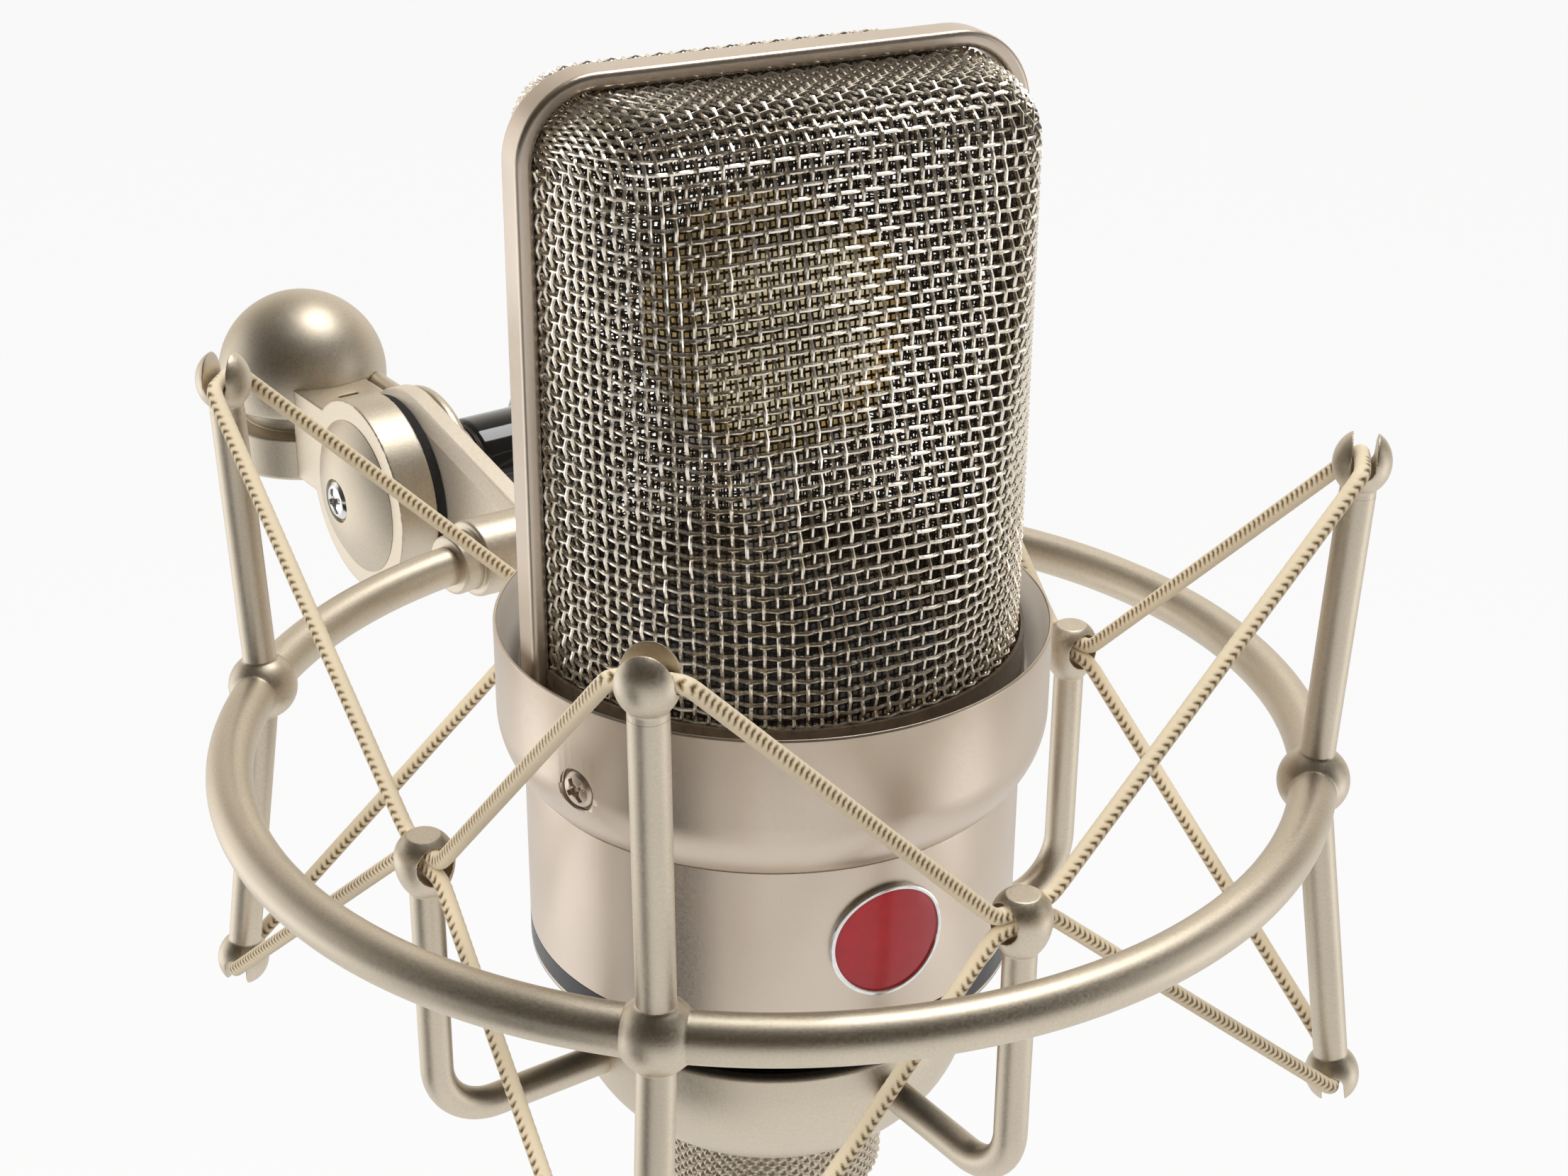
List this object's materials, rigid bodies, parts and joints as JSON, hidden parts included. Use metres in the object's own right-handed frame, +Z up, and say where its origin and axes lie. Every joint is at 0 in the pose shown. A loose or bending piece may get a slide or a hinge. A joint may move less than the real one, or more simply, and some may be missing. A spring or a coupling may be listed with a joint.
{
  "type": "condenser microphone in an elastic suspension",
  "caption": "Large-diaphragm condenser microphone with a wedge-shaped wire grille, hung by elastic cords in a ring suspension on a tilting, knob-clamped stand head.",
  "frame": {"origin": "mouth of the stand thread, on the axis of the stand head", "axes": "+Z up along the stand and the microphone, -Y from the stand head to the microphone and out of its front, +X towards the clamp knob"},
  "size_m": [0.1588, 0.2456, 0.172],
  "materials": {
    "satin_nickel": "satin",
    "bright_steel": "polished",
    "dark_washer": "matte",
    "black_plastic": "gloss",
    "elastic": "braided",
    "gold": "satin",
    "dark_band": "satin",
    "red_enamel": "gloss",
    "woven_wire": "woven",
    "fine_wire": "woven",
    "insulator": "satin",
    "aluminium": "satin",
    "board": "satin",
    "film_capacitor": "gloss"
  },
  "bodies": {
    "stand_head": {"stand_socket": "satin_nickel", "stand_dome": "satin_nickel", "swivel_ear": "satin_nickel", "pivot_cap": "satin_nickel", "pivot_cap_screw": "bright_steel", "pivot_bolt": "bright_steel", "friction_washer": "dark_washer", "far_ear": "satin_nickel"},
    "suspension": {"swivel_arm": "satin_nickel", "ring_clamp": "satin_nickel", "outer_ring": "satin_nickel", "post_front_left": "satin_nickel", "post_front_right": "satin_nickel", "post_back_right": "satin_nickel", "post_back_left": "satin_nickel", "upper_elastic": "elastic", "lower_elastic": "elastic"},
    "clamp_knob": {"knob_ferrule": "bright_steel", "clamp_knob": "black_plastic"},
    "basket": {"basket_cup": "satin_nickel", "arm_front": "satin_nickel", "arm_right": "satin_nickel", "arm_back": "satin_nickel", "arm_left": "satin_nickel", "mic_base": "satin_nickel", "connector_insert": "black_plastic", "connector_pins": "gold", "housing_tube": "satin_nickel", "label_band": "dark_band", "badge": "red_enamel", "head_collar": "satin_nickel", "collar_screws": "bright_steel", "grille_base": "dark_band", "grille_strap": "satin_nickel", "front_grille": "woven_wire", "rear_grille": "woven_wire", "front_inner_mesh": "fine_wire", "rear_inner_mesh": "fine_wire", "capsule_platform": "insulator", "capsule_damper": "dark_washer", "capsule_saddle": "aluminium", "capsule_body": "gold", "front_diaphragm": "gold", "rear_diaphragm": "gold", "clamp_rings": "gold", "clamp_screws": "bright_steel", "chassis_rails": "aluminium", "circuit_board": "board", "capacitors": "film_capacitor", "input_transistor": "bright_steel"},
    "lock_nut": {"lock_nut": "satin_nickel"}
  },
  "joints": [
    {"name": "swivel_tilt", "type": "hinge", "parent": "stand_head", "child": "suspension", "pos_m": [0, -0.036, 0.0057], "axis": [1, 0, 0], "range_deg": [-60, 40]},
    {"name": "knob_turn", "type": "hinge", "parent": "stand_head", "child": "clamp_knob", "pos_m": [0, -0.036, 0.0057], "axis": [1, 0, 0], "range_deg": [0, 360]},
    {"name": "cord_bounce", "type": "slide", "parent": "suspension", "child": "basket", "axis": [0, 0, 1], "range_m": [-0.005, 0.005], "stiffness_N_per_m": 1600, "springref_m": 0.00575, "deforming": ["upper_elastic", "lower_elastic"]},
    {"name": "nut_turn", "type": "hinge", "parent": "basket", "child": "lock_nut", "pos_m": [0, -0.151, -0.0585], "axis": [0, 0, 1], "continuous": true}
  ]
}
